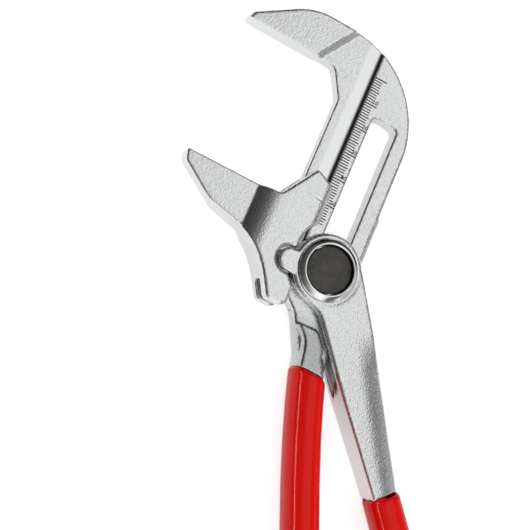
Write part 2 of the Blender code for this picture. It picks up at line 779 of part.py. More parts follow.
def cheek_cutters(name, profile, low_y, high_y):
    """The same cut on the front and the rear cheek."""
    cutters = []
    for facing in (1, -1):
        rings = [[Vector((x, y, MID + facing * z)) for x, z in profile] for y in (low_y, high_y)]
        cutters.append(skin(name, rings))
    return cutters


def make_sliding_jaw(finish):
    cheeks = cheek_corners()
    body = plate("sliding_jaw", [
        (-HALF_CHEEK, inset(cheeks, CHEEK_REAR_EDGE)),
        (CHEEK_REAR_EDGE - HALF_CHEEK, cheeks),
        (HALF_CHEEK - CHEEK_EDGE, cheeks),
        (HALF_CHEEK, inset(cheeks, CHEEK_EDGE)),
    ])
    ramp = crown_profile(RAMP_X + RAMP_LENGTH, RAMP_LENGTH, HALF_CHEEK - HALF_TIP, -1)
    slope_x = GROOVE_WALL + CHEEK_OVERLAP - HORN_SLOPE_WIDTH
    slope = crown_profile(slope_x, HORN_SLOPE_WIDTH, HORN_SLOPE_DROP, 1)
    cutters = cheek_cutters("ramp", ramp, -FULL_REACH, FULL_REACH)
    cutters += cheek_cutters("horn_slope", slope, JAW_TRAVEL_DOWN, FULL_REACH)
    combine(body, cutters, "DIFFERENCE")
    drafted = lower_tip_corners(TOE_REAR_DRAFT, TOE_REAR_BEND, TOE_REAR_END_DROP)
    straight = lower_tip_corners(0, (0, 0), 0)
    tip = plate("lower_tip", [
        (-HALF_TIP, inset(drafted, SMALL_EDGE)),
        (SMALL_EDGE - HALF_TIP, drafted),
        (0, straight),
        (HALF_TIP - SMALL_EDGE, straight),
        (HALF_TIP, inset(straight, SMALL_EDGE)),
    ])
    combine(body, [tip], "UNION")
    web_x = SHAFT_LEFT - CLEARANCE
    rib_x = GROOVE_WALL - CLEARANCE
    slide = HALF_GROOVE + CLEARANCE
    reach = FULL_REACH
    chamfer_slope = NECK_CHAMFER_DROP / NECK_CHAMFER_RUN
    chamfer_top = web_x - NECK_CHAMFER_RUN
    head_room = [
        (web_x + SMALL_EDGE, FACE_HEIGHT - NECK_CHAMFER_DROP - SMALL_EDGE * chamfer_slope),
        (web_x + SMALL_EDGE, HORN_TOP + OVERRUN),
        (RAMP_X, HORN_TOP + OVERRUN),
        (RAMP_X, FACE_HEIGHT),
        (chamfer_top, FACE_HEIGHT),
    ]
    channels = (
        ("shaft_channel", box_corners(web_x, -reach, -web_x, reach), slide),
        ("strip_channel", box_corners(rib_x, -reach, -web_x, reach), TINE_GAP),
        ("head_channel", head_room, slide),
        ("toe_channel", box_corners(-reach, -reach, -web_x, -WEB_BOTTOM), slide),
    )
    cutters = [plate(name, [(-half, corners), (half, corners)]) for name, corners, half in channels]
    combine(body, cutters, "DIFFERENCE")
    return finish_piece(body, finish)


def lug_corners():
    left = -LUG_REACH - LUG_RADIUS
    low = -LUG_DROP - LUG_RADIUS
    high = -LUG_DROP + LUG_RADIUS
    neck = -BOSS_RADIUS + OVERRUN
    return [
        (neck / 2, BOSS_RADIUS / 2 - OVERRUN),
        (neck, high + SMALL_EDGE, LUG_RADIUS / 2, 3),
        (left, high, LUG_RADIUS * FILLET_ROOM_SHARE, 7),
        (left, low, LUG_RADIUS * FILLET_ROOM_SHARE, 7),
        (neck + LUG_DROP, low - SMALL_EDGE, LUG_RADIUS, 3),
        (neck / 2, -BOSS_RADIUS + LUG_DROP),
    ]


def shank_corners():
    """The pivot lever from its boss to its grip, counter-clockwise from under the boss."""
    left, right = handle_sides(RIGHT_ROUTE, RIGHT_GRIP_START - CLEARANCE, TANG_WIDTH)
    edge = BOSS_RADIUS * math.cos(LEVER_BACK_TANGENT)
    rise = BOSS_RADIUS * math.sin(LEVER_BACK_TANGENT)
    under = BOSS_RADIUS - SMALL_EDGE / 4
    return [
        (0, 0),
        (-under * math.sin(LEVER_THROAT_TANGENT), -under * math.cos(LEVER_THROAT_TANGENT)),
        (LEVER_THROAT[0], -LEVER_THROAT[1], LEVER_THROAT_RADIUS, 5),
        (LEVER_BELLY[0], -LEVER_BELLY[1], LEVER_BEND_RADIUS, 4),
        (*left,),
        (*right,),
        (LEVER_BACK[0], -LEVER_BACK[1], LEVER_BEND_RADIUS, 3),
        (edge, rise),
    ]


def lean_shank(item):
    """Thins the lever evenly from its boss to its grip."""
    direction = spot(RIGHT_HANDLE_START).normalized()
    length = spot(RIGHT_HANDLE_START).length + RIGHT_GRIP_START
    thinning = 1 - LEVER_THICKNESS_AT_GRIP / CHEEK_THICKNESS
    for corner in item.data.vertices:
        along = max(Vector(corner.co.xy).dot(direction), 0) / length
        corner.co.z = MID + (corner.co.z - MID) * (1 - thinning * along)


def make_pivot_lever(finish):
    boss = disc(BOSS_RADIUS, TURNED_FACETS)
    body = edged_plate("pivot_lever", boss, -HALF_CHEEK, HALF_CHEEK, BOSS_EDGE)
    lug = edged_plate("lug", lug_corners(), -HALF_CHEEK, HALF_CHEEK, LUG_EDGE)
    shank = edged_plate("shank", shank_corners(), -HALF_CHEEK, HALF_CHEEK, SHANK_EDGE)
    lean_shank(shank)
    inner_end = tang("right_tang", RIGHT_ROUTE, RIGHT_GRIP_START - TANG_WIDTH / 3)
    combine(body, [lug, shank, inner_end], "UNION")
    slant = (LEVER_BELLY[1] + BOSS_RADIUS - CROTCH_BOTTOM[1]) * CROTCH_SLANT_SHARE
    pocket = [
        (-FULL_REACH, -LEVER_BELLY[1] - BOSS_RADIUS),
        (CROTCH_BOTTOM[0] + slant, -LEVER_BELLY[1] - BOSS_RADIUS),
        (CROTCH_BOTTOM[0], -CROTCH_BOTTOM[1], BOSS_RADIUS / 2, 4),
        (CROTCH_TOP[0], -CROTCH_TOP[1], BOSS_RADIUS, 4),
        (CROTCH_TOP[0], BOSS_RADIUS + OVERRUN),
        (-FULL_REACH, BOSS_RADIUS + OVERRUN),
    ]
    front_hole = disc(CUP_RADIUS + CLEARANCE, TURNED_FACETS)
    rear_hole = disc(BUSH_RADIUS + CLEARANCE, TURNED_FACETS)
    cutters = [
        plate("fork_pocket", [(-TINE_GAP, pocket), (TINE_GAP, pocket)]),
        plate("front_hole", [(0, front_hole), (HALF_CHEEK + OVERRUN, front_hole)]),
        plate("rear_hole", [(-HALF_CHEEK - OVERRUN, rear_hole), (0, rear_hole)]),
    ]
    combine(body, cutters, "DIFFERENCE")
    return finish_piece(body, finish)


def make_hinge_bolt(finish):
    """The cup and bezel, the guide block in the slot and the tail are one turned and milled piece."""
    groove_high = -HALF_CHEEK - 2 * CLEARANCE - BUSH_FLANGE_THICKNESS
    groove_low = groove_high - SNAP_RING_THICKNESS - CLEARANCE
    wall_low = BEZEL_BASE + BEZEL_RISE / 4
    body = turned_solid("hinge_bolt", [
        (0, TINE_GAP), (CUP_RADIUS, TINE_GAP), (CUP_RADIUS, BEZEL_BASE), (BEZEL_RADIUS, BEZEL_BASE),
        (BEZEL_RADIUS, wall_low), (BEZEL_RIM_RADIUS, BEZEL_TOP), (BEZEL_MOUTH_RADIUS, BEZEL_TOP),
        (BEZEL_MOUTH_RADIUS, CUP_FLOOR), (0, CUP_FLOOR),
    ], TURNED_FACETS)
    guide_x = HALF_SLOT - CLEARANCE
    guide_y = GUIDE_LENGTH / 2
    sides = box_corners(-guide_x, -guide_y, guide_x, guide_y)
    guide = [(*corner, GUIDE_CORNER_RADIUS, 3) for corner in sides]
    block = plate("guide_block", [(-HALF_SHAFT, guide), (TINE_GAP + CLEARANCE, guide)])
    inner = TAIL_RADIUS - SNAP_GROOVE_DEPTH
    tail = turned_solid("tail", [
        (0, -REAR_REACH), (TAIL_RADIUS, -REAR_REACH), (TAIL_RADIUS, groove_low), (inner, groove_low),
        (inner, groove_high), (TAIL_RADIUS, groove_high), (TAIL_RADIUS, 0), (0, 0),
    ], BORE_FACETS)
    combine(body, [block, tail], "UNION")
    room_y = KEY_HALF_LENGTH + CLEARANCE
    key_room = box_corners(-HALF_SLOT - OVERRUN, -room_y, KEY_BACK_REACH + CLEARANCE, room_y)
    stem_hole = disc(STEM_RADIUS + CLEARANCE, BORE_FACETS)
    bore = disc(SPRING_BORE_RADIUS, BORE_FACETS)
    cutters = [
        plate("key_room", [(KEY_ROOM_LOW, key_room), (KEY_HIGH + CLEARANCE, key_room)]),
        plate("stem_hole", [(KEY_HIGH, stem_hole), (CUP_FLOOR + OVERRUN, stem_hole)]),
        plate("spring_bore", [(SPRING_SEAT, bore), (KEY_ROOM_LOW + CLEARANCE, bore)]),
    ]
    combine(body, cutters, "DIFFERENCE")
    return finish_piece(body, finish)


def make_locking_key(finish):
    """The toothed key: a block with teeth on its left side and a stem up into the button."""
    face = -HALF_SLOT + CLEARANCE
    tilt = math.atan(TOOTH_HALF_WIDTH / (TOOTH_DEPTH + RACK_LIP))
    tip = RACK_X + TOOTH_GAP / math.sin(tilt)
    half_base = (face - tip) * math.tan(tilt)
    corners = [
        (KEY_BACK_REACH, -KEY_HALF_LENGTH), (KEY_BACK_REACH, KEY_HALF_LENGTH), (face, KEY_HALF_LENGTH),
    ]
    middle = (KEY_TEETH - 1) / 2
    for tooth in range(KEY_TEETH):
        y = (middle - tooth) * TOOTH_PITCH
        corners += [(face, y + half_base), (tip, y), (face, y - half_base)]
    corners.append((face, -KEY_HALF_LENGTH))
    body = plate("locking_key", [(KEY_LOW, corners), (KEY_HIGH, corners)])
    stem = disc(STEM_RADIUS, BORE_FACETS)
    shank = plate("key_stem", [(KEY_HIGH - CLEARANCE, stem), (BUTTON_BOTTOM - CLEARANCE, stem)])
    combine(body, [shank], "UNION")
    return finish_piece(body, finish)


def make_push_button(finish):
    face = BUTTON_RADIUS - BUTTON_EDGE
    body = turned_solid("push_button", [
        (0, BUTTON_BOTTOM), (face, BUTTON_BOTTOM), (BUTTON_RADIUS, BUTTON_BOTTOM + BUTTON_EDGE),
        (BUTTON_RADIUS, BUTTON_TOP - BUTTON_EDGE), (face, BUTTON_TOP), (0, BUTTON_TOP),
    ], TURNED_FACETS)
    return finish_piece(body, finish)


def make_rear_bush(finish):
    """A flanged ring: its collar fills the rear tine's hole and turns on the bolt's tail."""
    hole = TAIL_RADIUS + CLEARANCE
    flange_low = -HALF_CHEEK - CLEARANCE - BUSH_FLANGE_THICKNESS
    body = turned_solid("rear_bush", [
        (hole, flange_low), (BUSH_FLANGE_RADIUS, flange_low), (BUSH_FLANGE_RADIUS, -HALF_CHEEK - CLEARANCE),
        (BUSH_RADIUS, -HALF_CHEEK - CLEARANCE), (BUSH_RADIUS, -TINE_GAP), (hole, -TINE_GAP),
    ], TURNED_FACETS)
    return finish_piece(body, finish)


def make_snap_ring(finish):
    """An open ring sprung into the tail's groove."""
    high = -HALF_CHEEK - 2 * CLEARANCE - BUSH_FLANGE_THICKNESS - CLEARANCE / 2
    inner = TAIL_RADIUS - SNAP_GROOVE_DEPTH + CLEARANCE / 2
    outer = inner + SNAP_RING_WIDTH
    corners = []
    sweep = math.tau - SNAP_RING_OPENING
    for radius, order in ((outer, range(BORE_FACETS + 1)), (inner, range(BORE_FACETS, -1, -1))):
        for step in order:
            angle = SNAP_RING_OPENING / 2 + sweep * step / BORE_FACETS
            corners.append((radius * math.cos(angle), radius * math.sin(angle)))
    body = plate("snap_ring", [(high - SNAP_RING_THICKNESS, corners), (high, corners)])
    return finish_piece(body, finish)


def make_button_spring(finish):
    """The coil under the key: one wire, with a closed turn at each end."""
    low = SPRING_SEAT + CLEARANCE / 2 + SPRING_WIRE / 2
    high = KEY_LOW - CLEARANCE / 2 - SPRING_WIRE / 2
    curve = bpy.data.curves.new("button_spring", "CURVE")
    curve.dimensions = "3D"
    curve.bevel_depth = SPRING_WIRE / 2
    curve.bevel_resolution = 1
    curve.use_fill_caps = True
    curve.render_resolution_u = 0
    spline = curve.splines.new("POLY")
    turns = SPRING_TURNS + 2
    end_rise = SPRING_WIRE * COIL_CLOSE_SHARE
    steps = turns * COIL_STEPS
    spline.points.add(steps)
    points = []
    for step in range(steps + 1):
        turn = step / COIL_STEPS
        first = min(turn, 1)
        last = max(turn - turns + 1, 0)
        middle = (turn - first - last) / (turns - 2)
        height = low + end_rise * (first + last) + (high - low - 2 * end_rise) * middle
        angle = math.tau * turn
        arm = (SPRING_COIL_RADIUS * math.cos(angle), SPRING_COIL_RADIUS * math.sin(angle))
        points.append(Vector((*arm, height)))
    for place, point in zip(spline.points, points):
        place.co = (point.x, point.y, MID + point.z, 1)
    gap = min(
        (points[index] - points[index + COIL_STEPS]).length - SPRING_WIRE
        for index in range(steps + 1 - COIL_STEPS)
    )
    print("button_spring: least gap between turns", round(gap / SPRING_WIRE, 2), "wire thicknesses")
    item = bpy.data.objects.new("button_spring", curve)
    bpy.context.scene.collection.objects.link(item)
    curve.materials.append(finish)
    return item


def steel(name, grey, roughness):
    return material(name, (grey, grey, grey * WARM_SHARE), roughness, 1.0)


forged = steel("forged_chrome", 0.62, 0.36)
polished = steel("polished_chrome", 0.75, 0.12)
spring_steel = steel("spring_steel", 0.45, 0.3)
black_oxide = material("black_oxide", (0.075, 0.068, 0.064), 0.55, 0.6)
red_sleeve = material("red_sleeve", (0.72, 0.012, 0.008), 0.28, 0.0)

make_fixed_jaw_lever(forged)
make_sliding_jaw(forged)
make_pivot_lever(forged)
make_hinge_bolt(polished)
make_locking_key(spring_steel)
make_push_button(black_oxide)
make_rear_bush(polished)
make_snap_ring(spring_steel)
make_button_spring(spring_steel)
finish_piece(grip_solid("grip_left", LEFT_ROUTE, LEFT_GRIP_START, LEFT_MOUTH_SLANT), red_sleeve)
finish_piece(grip_solid("grip_right", RIGHT_ROUTE, RIGHT_GRIP_START, 0), red_sleeve)
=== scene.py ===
# The looks of a parallel-jaw pliers wrench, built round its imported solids.
# Metres, in the wrench's own frame: the shaft runs along +Y and the button looks along +Z.

import math

import bmesh
import bpy
from mathutils import Matrix, Vector
from mathutils.bvhtree import BVHTree


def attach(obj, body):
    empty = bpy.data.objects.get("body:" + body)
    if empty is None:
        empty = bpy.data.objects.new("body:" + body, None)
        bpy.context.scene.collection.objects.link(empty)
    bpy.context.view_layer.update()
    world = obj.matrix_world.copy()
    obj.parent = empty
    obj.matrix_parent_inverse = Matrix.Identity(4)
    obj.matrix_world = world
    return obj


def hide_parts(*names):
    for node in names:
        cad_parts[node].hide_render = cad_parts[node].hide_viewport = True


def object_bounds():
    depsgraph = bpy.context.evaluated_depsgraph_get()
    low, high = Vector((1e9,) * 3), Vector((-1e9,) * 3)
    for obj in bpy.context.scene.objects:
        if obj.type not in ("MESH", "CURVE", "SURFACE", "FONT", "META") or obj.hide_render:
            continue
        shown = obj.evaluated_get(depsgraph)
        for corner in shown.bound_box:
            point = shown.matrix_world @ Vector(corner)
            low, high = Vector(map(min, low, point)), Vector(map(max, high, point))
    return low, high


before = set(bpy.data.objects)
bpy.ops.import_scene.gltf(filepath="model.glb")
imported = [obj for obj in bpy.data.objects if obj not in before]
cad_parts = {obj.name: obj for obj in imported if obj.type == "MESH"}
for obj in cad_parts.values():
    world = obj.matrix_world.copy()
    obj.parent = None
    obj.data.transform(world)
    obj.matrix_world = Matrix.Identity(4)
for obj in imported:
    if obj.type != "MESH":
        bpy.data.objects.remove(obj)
cad_low, cad_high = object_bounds()

# Camera, table and light.
# The wrench lies on a white table under a broad soft light from its upper right, with a dark room
# to its left, which draws the dark line along each left edge of the bright metal. Two lamps light
# the red sleeves alone.
PICTURE_SIDE = 530
CAMERA_PLACE = Vector((-0.11475, -0.08424, 0.35747))
CAMERA_BACK = Vector((-0.257132, -0.211571, 0.942932))
CAMERA_UP = Vector((-0.434173, 0.897009, 0.082871))
CAMERA_LENS = 74.13
CAMERA_SENSOR = 36
CAMERA_SHIFT = (1.19 / PICTURE_SIDE, -2.07 / PICTURE_SIDE)
CAMERA_NEAREST = 0.01
TABLE_REACH = 3.0
TABLE_GAP = 0.0002
TABLE_WHITE = (0.8, 0.8, 0.8)
TABLE_ROUGHNESS = 0.9
TABLE_LIFT = 0.62
TABLE_GLOSS = 0.36
# The room's brightness along X, as pairs of a direction's X and its level.
SKY_ACROSS = (
    (-1.0, 0.04), (-0.55, 0.07), (-0.38, 0.12), (-0.12, 0.24), (0.04, 0.55), (0.18, 0.86),
    (0.28, 1.0), (0.42, 1.0), (0.50, 0.70), (0.57, 0.14), (0.76, 0.14), (0.88, 0.85), (1.0, 0.70),
)
# Then its share by height (dim near the table), and toward the picture's lower and upper edge.
# Each has two values of the direction, and the share at each of them.
SKY_HEIGHT = (0.04, 0.55, 0.32, 1.0)
SKY_LOWER = (-0.45, -0.2, 1.2, 0.0)
SKY_UPPER = (0.55, 0.85, 1.0, 0.08)
SKY_PLAIN = 0.84
# Each lamp's place, target, size and power.
STRIP_LAMP = ((-0.44, -0.30, 0.36), (0.02, -0.09, 0.01), (1.0, 0.03), 1.6)
FILL_LAMP = ((0.62, -0.20, 0.15), (0.04, -0.09, 0.01), (0.5, 0.3), 4.4)


def set_camera():
    """The photo's camera, as solved from the scale, the round bezel and the straight slot."""
    data = bpy.data.cameras.new("camera")
    data.lens = CAMERA_LENS
    data.sensor_width = CAMERA_SENSOR
    data.sensor_fit = "HORIZONTAL"
    data.shift_x, data.shift_y = CAMERA_SHIFT
    data.clip_start = CAMERA_NEAREST
    camera = bpy.data.objects.new("camera", data)
    bpy.context.scene.collection.objects.link(camera)
    right = CAMERA_UP.cross(CAMERA_BACK).normalized()
    up = CAMERA_BACK.cross(right).normalized()
    turn = Matrix((right, up, CAMERA_BACK.normalized())).transposed()
    camera.matrix_world = Matrix.Translation(CAMERA_PLACE) @ turn.to_4x4()
    bpy.context.scene.camera = camera
    bpy.context.scene.view_settings.view_transform = "Standard"


def join(tree, operation, first, second):
    """The output of a Math node on two values, each a number or another node's output."""
    node = tree.nodes.new("ShaderNodeMath")
    node.operation = operation
    for socket, value in zip(node.inputs, (first, second)):
        if isinstance(value, (int, float)):
            socket.default_value = value
        else:
            tree.links.new(value, socket)
    return node.outputs[0]


def remap(tree, value, low, high, to_low, to_high, kind="LINEAR"):
    """Carries a value from one range to another, and holds it at the second range's ends."""
    node = tree.nodes.new("ShaderNodeMapRange")
    node.interpolation_type = kind
    node.inputs["From Min"].default_value = low
    node.inputs["From Max"].default_value = high
    node.inputs["To Min"].default_value = to_low
    node.inputs["To Max"].default_value = to_high
    tree.links.new(value, node.inputs["Value"])
    return node.outputs["Result"]


def split_axes(tree, place):
    """The X, Y and Z of a place or a direction."""
    node = tree.nodes.new("ShaderNodeSeparateXYZ")
    tree.links.new(place, node.inputs[0])
    return node.outputs


def light_room():
    """Bright on the upper right and dark on the left, as metal sees it; even light for all else."""
    world = bpy.data.worlds.new("room")
    world.use_nodes = True
    tree = world.node_tree
    background = tree.nodes["Background"]
    axes = split_axes(tree, tree.nodes.new("ShaderNodeTexCoord").outputs["Generated"])
    across = tree.nodes.new("ShaderNodeValToRGB")
    ramp = across.color_ramp
    while len(ramp.elements) < len(SKY_ACROSS):
        ramp.elements.new(0.5)
    for element, (x, level) in zip(ramp.elements, SKY_ACROSS):
        element.position = (x + 1) / 2
        element.color = (level, level, level, 1)
    tree.links.new(remap(tree, axes["X"], -1, 1, 0, 1), across.inputs[0])
    height = remap(tree, axes["Z"], *SKY_HEIGHT, "SMOOTHSTEP")
    lower = remap(tree, axes["Y"], *SKY_LOWER, "SMOOTHSTEP")
    upper = remap(tree, axes["Y"], *SKY_UPPER, "SMOOTHSTEP")
    share = join(tree, "MULTIPLY", join(tree, "MAXIMUM", height, lower), upper)
    mirrored = join(tree, "MULTIPLY", across.outputs[0], share)
    path = tree.nodes.new("ShaderNodeLightPath")
    even = path.outputs["Is Diffuse Ray"]
    mirrored = join(tree, "MULTIPLY", mirrored, join(tree, "SUBTRACT", 1, even))
    level = join(tree, "ADD", mirrored, join(tree, "MULTIPLY", even, SKY_PLAIN))
    level = join(tree, "MAXIMUM", level, path.outputs["Is Camera Ray"])
    tree.links.new(level, background.inputs["Color"])
    background.inputs["Strength"].default_value = 1.0
    bpy.context.scene.world = world


def lay_table():
    """A white table, lifted to pure white for the camera and for what the metal mirrors of it."""
    shape = bmesh.new()
    bmesh.ops.create_grid(shape, x_segments=1, y_segments=1, size=TABLE_REACH)
    bmesh.ops.translate(shape, verts=shape.verts, vec=(0, 0, cad_low[2] - TABLE_GAP))
    mesh = bpy.data.meshes.new("table")
    shape.to_mesh(mesh)
    shape.free()
    table = bpy.data.objects.new("table", mesh)
    bpy.context.scene.collection.objects.link(table)
    white = bpy.data.materials.new("white_table")
    white.use_nodes = True
    tree = white.node_tree
    shader = tree.nodes["Principled BSDF"]
    shader.inputs["Base Color"].default_value = (*TABLE_WHITE, 1)
    shader.inputs["Roughness"].default_value = TABLE_ROUGHNESS
    shader.inputs["Specular IOR Level"].default_value = 0.0
    shader.inputs["Emission Color"].default_value = (1, 1, 1, 1)
    path = tree.nodes.new("ShaderNodeLightPath")
    clear = join(tree, "MULTIPLY", path.outputs["Is Camera Ray"], TABLE_LIFT)
    gloss = join(tree, "MULTIPLY", path.outputs["Is Glossy Ray"], TABLE_GLOSS)
    tree.links.new(join(tree, "ADD", clear, gloss), shader.inputs["Emission Strength"])
    mesh.materials.append(white)


def hang_lamp(name, place, target, size, power):
    """A flat rectangular lamp that looks at its target."""
    lamp = bpy.data.lights.new(name, "AREA")
    lamp.shape = "RECTANGLE"
    lamp.size, lamp.size_y = size
    lamp.energy = power
    item = bpy.data.objects.new(name, lamp)
    bpy.context.scene.collection.objects.link(item)
    aim = (Vector(target) - Vector(place)).to_track_quat("-Z", "Y")
    item.matrix_world = Matrix.Translation(place) @ aim.to_matrix().to_4x4()
    return item


set_camera()
light_room()
lay_table()
sleeve_lamps = (hang_lamp("strip_lamp", *STRIP_LAMP), hang_lamp("fill_lamp", *FILL_LAMP))

# Fixed jaw, shaft and left handle.
# One drop forging: the upper jaw, the slotted shaft and the tang inside the left grip. Its faces
# are chrome plated over blasted steel, ground smooth on the gripping face and beside the groove.
MID = 0.0094
MERGE_REACH = 1e-6
FIXED_GRAIN = 0.0004
FORGED_PASSES = 4
# The bend of the root's left wall, and the ball round it, longer along Y, that is smoothed more.
ROOT_WALL = Vector((0.0006, -0.0249, 0.0108))
ROOT_WALL_REACH = 0.0027
ROOT_WALL_STRETCH = Vector((1, 0.55, 1))
ROOT_WALL_PASSES = 80
# The chrome's colour, where it is clean and, as a share, where it is cloudy.
CHROME = (0.86, 0.87, 0.87)
CHROME_CLOUDY = 0.93
CLOUD_SCALE = 60
CLOUD_DETAIL = 4.0
SATIN = 0.24
SATIN_SPREAD = 0.05
GROUND_GLOSS = 0.08
# The blasted skin: small peel, wider pits, and the least grain left on a ground face.
PEEL_SCALE = 1750
PIT_SCALE = 800
SKIN_DETAIL = 1.0
SKIN_ROUGHNESS = 0.4
SKIN_HEIGHT = 0.0002
SKIN_LEAST = 0.06
SHADE_TINT = (0.05, 0.055, 0.06)
# Painted shade along convex edges: the sharper a bend, by its pointiness, the darker, in place of
# the dark lines that reflections draw there.
EDGE_SHADE_TINT = (0.08, 0.085, 0.09)
EDGE_BEND = (0.54, 0.62)
EDGE_SHADE = 0.45
# Boxes on the fixed forging, each by its low and its high corner: the ground faces, and then the
# places darkened with painted shade, with half the width of their soft edge and the strength
# of the shade.
GROUND_FADE = 0.0006
GROOVE_BAND = ((-0.0158, None, MID), (-0.0107, None, 0.0127))
UPPER_GRIP = ((None, 0.0668, None), (-0.0235, 0.0677, None))
# Painted shade in the inside corner along the groove's right wall.
GROOVE_CORNER_SHADE = ((-0.0111, None, MID), (-0.0104, None, 0.01245), 0.00025, 0.8)
# Painted shade over the front of the forging below the hinge, down the root toward the grip.
ROOT_SHADE = ((None, None, MID), (None, -0.018, None), 0.006, 0.4)
SHAFT_PEEL = 0.45
SHAFT_PITS = 0.7


def merged_copy(node, name):
    """A new object with a node's mesh, its loose triangles joined into one skin."""
    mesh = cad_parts[node].data.copy()
    mesh.name = name
    shape = bmesh.new()
    shape.from_mesh(mesh)
    bmesh.ops.remove_doubles(shape, verts=shape.verts, dist=MERGE_REACH)
    shape.to_mesh(mesh)
    shape.free()
    mesh.materials.clear()
    piece = bpy.data.objects.new(name, mesh)
    bpy.context.scene.collection.objects.link(piece)
    return piece


def wear_round(piece, passes, chosen=None):
    """Smooths a piece's skin some number of times, all of it or only its chosen corners."""
    shape = bmesh.new()
    shape.from_mesh(piece.data)
    corners = [corner for corner in shape.verts if chosen is None or chosen(corner.co)]
    for _ in range(passes):
        bmesh.ops.smooth_vert(
            shape, verts=corners, factor=0.5, use_axis_x=True, use_axis_y=True, use_axis_z=True
        )
    shape.to_mesh(piece.data)
    shape.free()


def softened(node, name, grain, passes):
    """A node's shape with every hard edge worn round, as forging and blasting leave it."""
    piece = merged_copy(node, name)
    remesh = piece.modifiers.new("grain", "REMESH")
    remesh.mode = "VOXEL"
    remesh.voxel_size = grain
    remesh.adaptivity = 0.0
    graph = bpy.context.evaluated_depsgraph_get()
    mesh = bpy.data.meshes.new_from_object(piece.evaluated_get(graph))
    piece.modifiers.clear()
    piece.data = mesh
    mesh.name = name
    wear_round(piece, passes)
    mesh.shade_smooth()
    return piece


def on_root_wall(point):
    """Whether a point is where the root's left wall blends into the tang."""
    return ((point - ROOT_WALL) * ROOT_WALL_STRETCH).length < ROOT_WALL_REACH


def new_finish(name):
    """A new material, its node tree, its shader and the place on the piece that it reads."""
    finish = bpy.data.materials.new(name)
    finish.use_nodes = True
    tree = finish.node_tree
    place = tree.nodes.new("ShaderNodeTexCoord").outputs["Object"]
    return finish, tree, tree.nodes["Principled BSDF"], place


def noise(tree, place, scale, detail, roughness=0.5):
    node = tree.nodes.new("ShaderNodeTexNoise")
    node.inputs["Scale"].default_value = scale
    node.inputs["Detail"].default_value = detail
    node.inputs["Roughness"].default_value = roughness
    tree.links.new(place, node.inputs["Vector"])
    return node.outputs["Fac"]


def blend(tree, factor, first, second):
    """Goes from the first colour to the second, each a colour or another node's output."""
    node = tree.nodes.new("ShaderNodeMix")
    node.data_type = "RGBA"
    tree.links.new(factor, node.inputs["Factor"])
    for name, colour in (("A", first), ("B", second)):
        if isinstance(colour, tuple):
            node.inputs[name].default_value = (*colour, 1)
        else:
            tree.links.new(colour, node.inputs[name])
    return node.outputs["Result"]


def scaled(colour, share):
    return tuple(part * share for part in colour)


def raise_skin(tree, shader, height, distance, strength):
    """Gives a shader a raised pattern. Its strength is a number or another node's output."""
    bump = tree.nodes.new("ShaderNodeBump")
    bump.inputs["Distance"].default_value = distance
    if isinstance(strength, float):
        bump.inputs["Strength"].default_value = strength
    else:
        tree.links.new(strength, bump.inputs["Strength"])
    tree.links.new(height, bump.inputs["Height"])
    tree.links.new(bump.outputs["Normal"], shader.inputs["Normal"])


def inside_box(tree, axes, low, high, fade):
    """1 inside a box and 0 outside it, with soft edges. A bound of None is left open."""
    total = 1.0
    for axis, least, most in zip(axes, low, high):
        if least is not None:
            step = remap(tree, axis, least - fade, least + fade, 0, 1, "SMOOTHSTEP")
            total = join(tree, "MULTIPLY", step, total)
        if most is not None:
            step = remap(tree, axis, most - fade, most + fade, 1, 0, "SMOOTHSTEP")
            total = join(tree, "MULTIPLY", step, total)
    return total


def blasted_chrome(name, peel, pitting, ground, shaded=()):
    """Satin chrome over blasted steel, smooth in the ground boxes and darkened with painted shade
    in the shaded ones.
    """
    finish, tree, shader, place = new_finish(name)
    shader.inputs["Metallic"].default_value = 1.0
    axes = split_axes(tree, place)
    smooth = 0.0
    for low, high in ground:
        box = inside_box(tree, axes, low, high, GROUND_FADE)
        smooth = join(tree, "MAXIMUM", smooth, box)
    cloud = noise(tree, place, CLOUD_SCALE, CLOUD_DETAIL)
    gloss = remap(tree, cloud, 0, 1, SATIN - SATIN_SPREAD, SATIN + SATIN_SPREAD)
    gloss = join(tree, "SUBTRACT", gloss, join(tree, "MULTIPLY", smooth, GROUND_GLOSS))
    tree.links.new(gloss, shader.inputs["Roughness"])
    tint = blend(tree, cloud, scaled(CHROME, CHROME_CLOUDY), CHROME)
    # Painted shade: each shaded box darkens the colour toward SHADE_TINT.
    for low, high, fade, depth in shaded:
        part = join(tree, "MULTIPLY", inside_box(tree, axes, low, high, fade), depth)
        tint = blend(tree, part, tint, SHADE_TINT)
    # Painted shade: convex edges are darkened toward the edge shade tint.
    bend = tree.nodes.new("ShaderNodeNewGeometry").outputs["Pointiness"]
    tint = blend(tree, remap(tree, bend, *EDGE_BEND, 0, EDGE_SHADE), tint, EDGE_SHADE_TINT)
    tree.links.new(tint, shader.inputs["Base Color"])
    pits = noise(tree, place, PIT_SCALE, SKIN_DETAIL, SKIN_ROUGHNESS)
    peeled = noise(tree, place, PEEL_SCALE, SKIN_DETAIL, SKIN_ROUGHNESS)
    skin = join(tree, "ADD", peeled, join(tree, "MULTIPLY", pits, pitting))
    rough = join(tree, "SUBTRACT", 1.0, smooth)
    strength = join(tree, "ADD", join(tree, "MULTIPLY", rough, peel), SKIN_LEAST)
    raise_skin(tree, shader, skin, SKIN_HEIGHT, strength)
    return finish


def dress(piece, finish, body, slot, *nodes):
    """Gives a piece its finish, its body and the nodes that it stands for. Its slot is not used."""
    piece.data.materials.clear()
    piece.data.materials.append(finish)
    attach(piece, body)
    if nodes:
        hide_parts(*nodes)


shaft_chrome = blasted_chrome(
    "shaft_chrome", SHAFT_PEEL, SHAFT_PITS, (GROOVE_BAND, UPPER_GRIP), (GROOVE_CORNER_SHADE, ROOT_SHADE)
)
fixed_forging = softened("fixed_jaw_lever", "fixed_jaw_forging", FIXED_GRAIN, FORGED_PASSES)
wear_round(fixed_forging, ROOT_WALL_PASSES, on_root_wall)
dress(fixed_forging, shaft_chrome, "fixed_lever", "forged_chrome", "fixed_jaw_lever")

